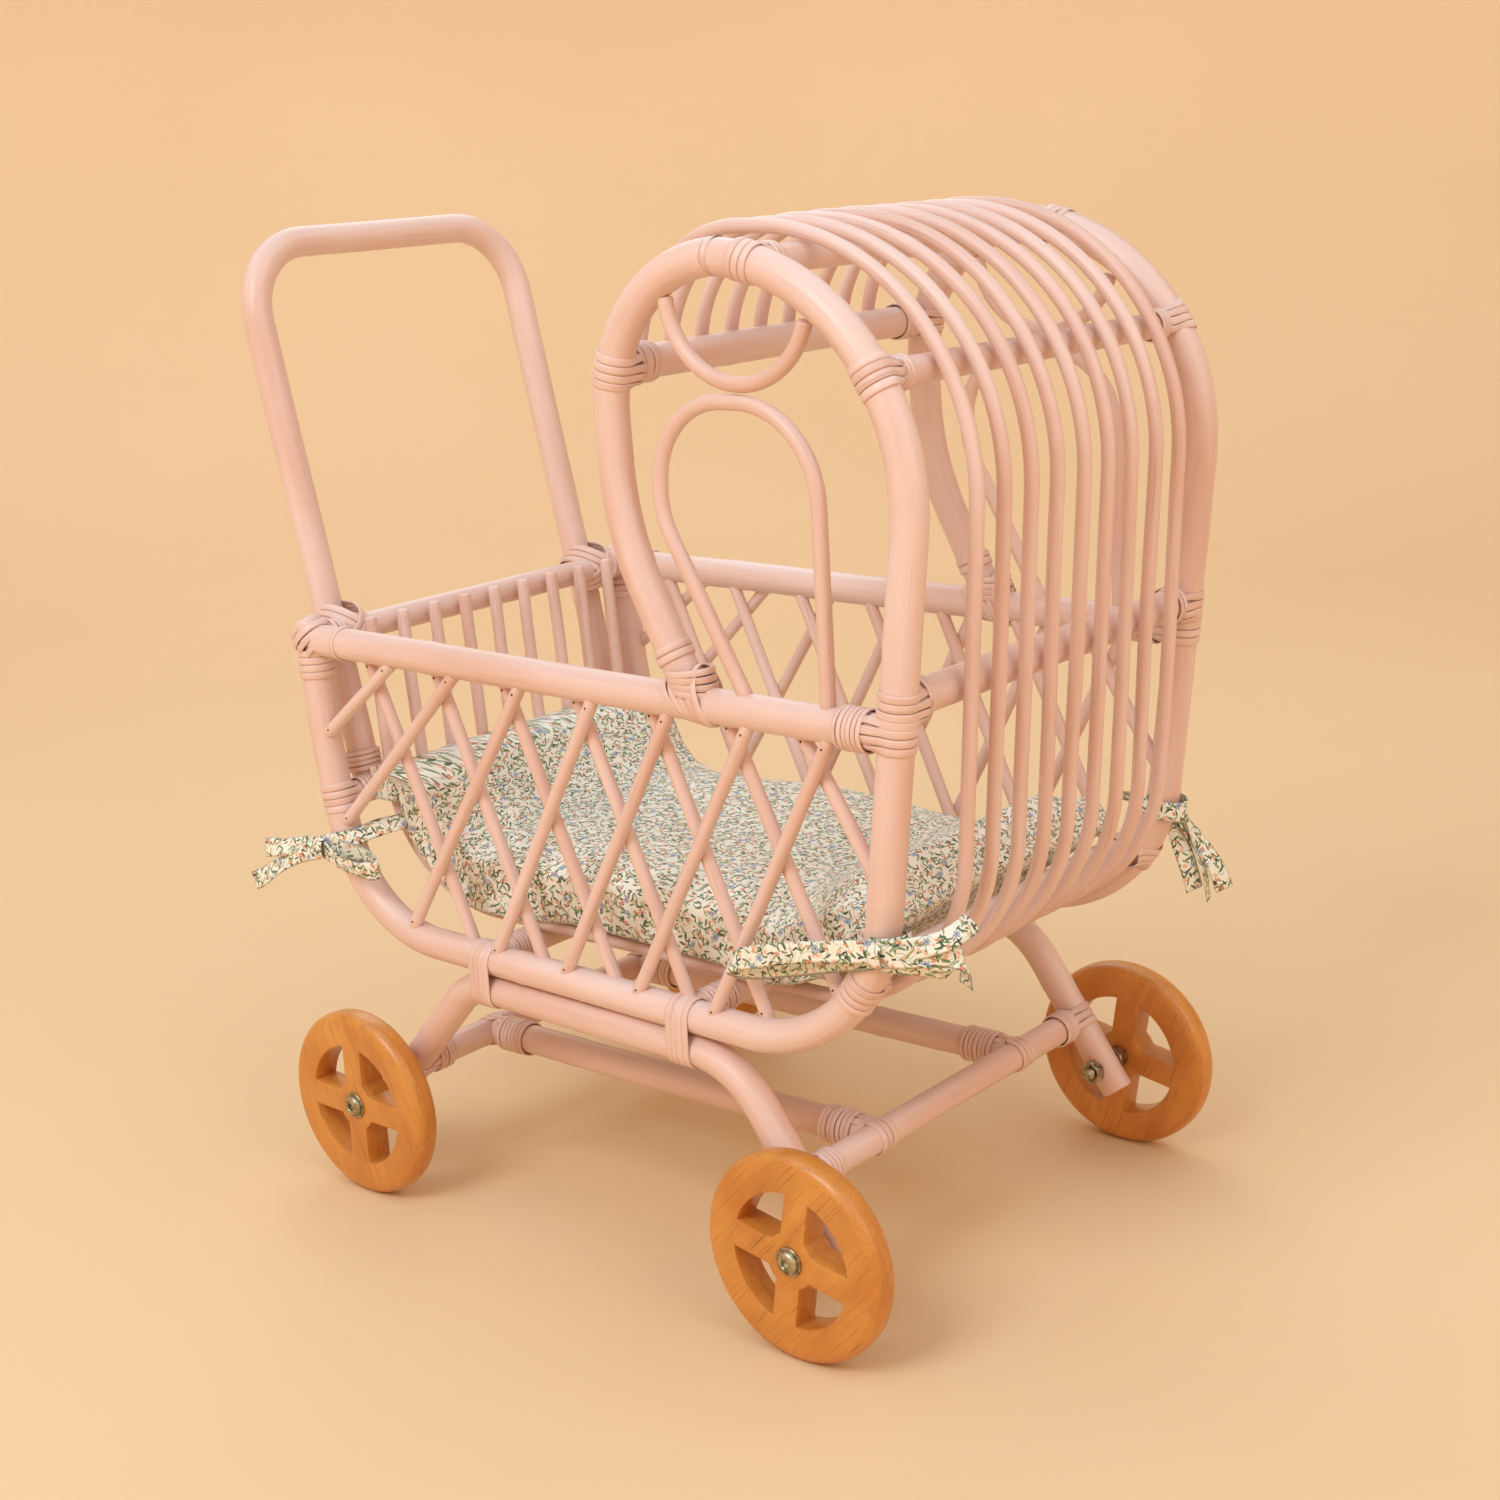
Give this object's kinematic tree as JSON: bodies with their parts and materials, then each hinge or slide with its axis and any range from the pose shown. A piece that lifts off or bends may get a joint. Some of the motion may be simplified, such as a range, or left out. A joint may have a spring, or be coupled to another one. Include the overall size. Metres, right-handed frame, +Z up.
{
  "type": "doll stroller",
  "caption": "Doll's pram of bent, painted rattan with a fixed ribbed hood, open lattice sides, a tied-in floral mattress, a looped push handle and spoked wooden wheels on bolts.",
  "frame": {"origin": "centre of the bounding box on the ground plane, under the middle of the basket", "axes": "+Z up, -Y towards the hood end, +Y towards the handle end, X across the pram"},
  "size_m": [0.361, 0.5532, 0.5998],
  "materials": {
    "painted_pole": "satin pink paint on bent rattan pole",
    "painted_cane": "satin pink paint on thin rattan cane",
    "rattan_binding": "pink paint on flat rattan strip",
    "varnished_wood": "clear satin varnish on warm brown wood",
    "steel": "zinc plated, slightly yellow",
    "floral_cotton": "cream cotton with a small floral print"
  },
  "bodies": {
    "frame": {"near_side_hoop": "painted_pole", "near_top_rail": "painted_pole", "far_side_hoop": "painted_pole", "far_top_rail": "painted_pole", "hood_rear_crossbar": "painted_pole", "hood_top_crossbar": "painted_pole", "hood_front_crossbar": "painted_pole", "front_middle_crossbar": "painted_pole", "front_bottom_crossbar": "painted_pole", "rear_top_crossbar": "painted_pole", "rear_bottom_crossbar": "painted_pole", "front_floor_crossbar": "painted_pole", "rear_floor_crossbar": "painted_pole", "basket_cane_1": "painted_cane", "basket_cane_2": "painted_cane", "basket_cane_3": "painted_cane", "basket_cane_4": "painted_cane", "basket_cane_5": "painted_cane", "basket_cane_6": "painted_cane", "basket_cane_7": "painted_cane", "basket_cane_8": "painted_cane", "basket_cane_9": "painted_cane", "near_lattice": "painted_cane", "far_lattice": "painted_cane", "near_upper_loop": "painted_cane", "near_lower_loop": "painted_cane", "far_upper_loop": "painted_cane", "far_lower_loop": "painted_cane", "push_handle": "painted_pole", "near_chassis_rail": "painted_pole", "far_chassis_rail": "painted_pole", "low_front_crossbar": "painted_pole", "low_rear_crossbar": "painted_pole", "near_stretcher": "painted_pole", "far_stretcher": "painted_pole", "near_front_rail_binding": "rattan_binding", "near_rear_rail_binding": "rattan_binding", "far_front_rail_binding": "rattan_binding", "far_rear_rail_binding": "rattan_binding", "near_front_axle_bolt": "steel", "near_front_jam_nut": "steel", "near_front_lock_nut": "steel", "near_rear_axle_bolt": "steel", "near_rear_jam_nut": "steel", "near_rear_lock_nut": "steel", "far_front_axle_bolt": "steel", "far_front_jam_nut": "steel", "far_front_lock_nut": "steel", "far_rear_axle_bolt": "steel", "far_rear_jam_nut": "steel", "far_rear_lock_nut": "steel", "mattress": "floral_cotton", "near_rear_tie": "floral_cotton", "far_rear_tie": "floral_cotton", "near_front_tie": "floral_cotton", "far_front_tie": "floral_cotton"},
    "near_front_wheel": {"near_front_wheel": "varnished_wood"},
    "near_rear_wheel": {"near_rear_wheel": "varnished_wood"},
    "far_front_wheel": {"far_front_wheel": "varnished_wood"},
    "far_rear_wheel": {"far_rear_wheel": "varnished_wood"}
  },
  "joints": [
    {"name": "near_front_wheel_spin", "type": "hinge", "parent": "frame", "child": "near_front_wheel", "pos_m": [-0.1674, -0.19649, 0.05982], "axis": [1, 0, 0], "continuous": true},
    {"name": "near_rear_wheel_spin", "type": "hinge", "parent": "frame", "child": "near_rear_wheel", "pos_m": [-0.1674, 0.15751, 0.05982], "axis": [1, 0, 0], "continuous": true},
    {"name": "far_front_wheel_spin", "type": "hinge", "parent": "frame", "child": "far_front_wheel", "pos_m": [0.1674, -0.19649, 0.05982], "axis": [1, 0, 0], "continuous": true},
    {"name": "far_rear_wheel_spin", "type": "hinge", "parent": "frame", "child": "far_rear_wheel", "pos_m": [0.1674, 0.15751, 0.05982], "axis": [1, 0, 0], "continuous": true}
  ]
}
